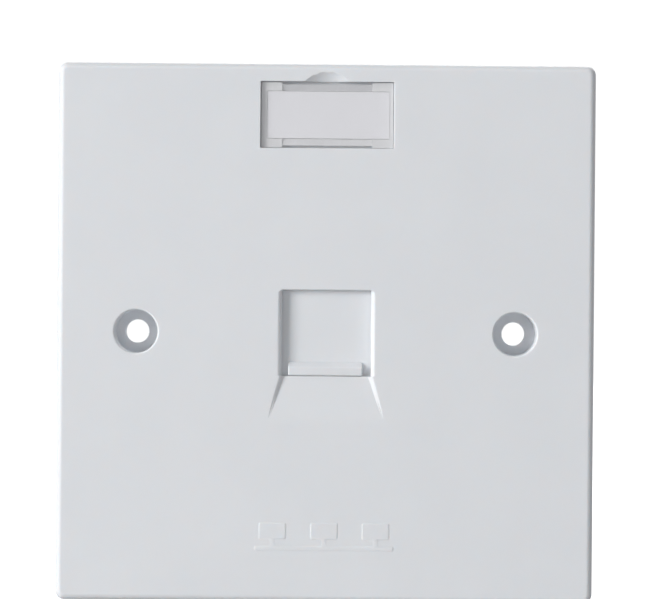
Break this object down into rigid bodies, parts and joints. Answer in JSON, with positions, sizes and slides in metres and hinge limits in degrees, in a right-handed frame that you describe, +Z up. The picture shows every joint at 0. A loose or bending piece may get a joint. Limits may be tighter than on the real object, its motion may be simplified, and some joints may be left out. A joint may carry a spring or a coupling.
{
  "type": "network wall plate",
  "caption": "Square network wall plate with a spring-loaded dust shutter over its socket, a clear label window, screw recesses at the sides and a keystone jack behind.",
  "frame": {"origin": "centre of the plate on the wall plane, the plane of the skirt's rear rim", "axes": "+Z up, the front faces -Y, +Y goes into the wall, +X to the right seen from the front"},
  "size_m": [0.086, 0.0338, 0.086],
  "materials": {
    "white_plastic": "fine satin moulded ABS",
    "clear_plastic": "clear moulded polycarbonate",
    "label_card": "plain uncoated card",
    "jack_plastic": "satin moulded plastic",
    "cap_plastic": "satin moulded plastic",
    "spring_steel": "drawn wire",
    "zinc_steel": "bright zinc plate",
    "gold_contact": "gold-plated phosphor bronze",
    "tin_blade": "tin plate",
    "green_board": "solder-masked glass-epoxy board"
  },
  "bodies": {
    "plate": {"face_plate": "white_plastic", "shutter_spring_left": "spring_steel", "shutter_spring_right": "spring_steel", "jack_carrier": "white_plastic", "carrier_screw_1": "zinc_steel", "carrier_screw_2": "zinc_steel", "carrier_screw_3": "zinc_steel", "carrier_screw_4": "zinc_steel", "jack_housing": "jack_plastic", "contact_1": "gold_contact", "contact_2": "gold_contact", "contact_3": "gold_contact", "contact_4": "gold_contact", "contact_5": "gold_contact", "contact_6": "gold_contact", "contact_7": "gold_contact", "contact_8": "gold_contact", "jack_board": "green_board", "idc_housing": "jack_plastic", "idc_blade_1": "tin_blade", "idc_blade_2": "tin_blade", "idc_blade_3": "tin_blade", "idc_blade_4": "tin_blade", "idc_blade_5": "tin_blade", "idc_blade_6": "tin_blade", "idc_blade_7": "tin_blade", "idc_blade_8": "tin_blade"},
    "shutter": {"shutter": "white_plastic"},
    "label_window": {"label_window": "clear_plastic", "label_card": "label_card"},
    "wire_cap_left": {"wire_cap_left": "cap_plastic"},
    "wire_cap_right": {"wire_cap_right": "cap_plastic"}
  },
  "joints": [
    {"name": "shutter_slide", "type": "slide", "parent": "plate", "child": "shutter", "axis": [0, 0, 1], "range_m": [0, 0.0111], "stiffness_N_per_m": 250, "springref_m": -0.002, "deforming": ["shutter_spring_left", "shutter_spring_right"]},
    {"name": "label_window_pull", "type": "slide", "parent": "plate", "child": "label_window", "axis": [0, -1, 0], "range_m": [0, 0.006]},
    {"name": "wire_cap_left_pull", "type": "slide", "parent": "plate", "child": "wire_cap_left", "axis": [0, 1, 0], "range_m": [0, 0.008]},
    {"name": "wire_cap_right_pull", "type": "slide", "parent": "plate", "child": "wire_cap_right", "axis": [0, 1, 0], "range_m": [0, 0.008]}
  ]
}
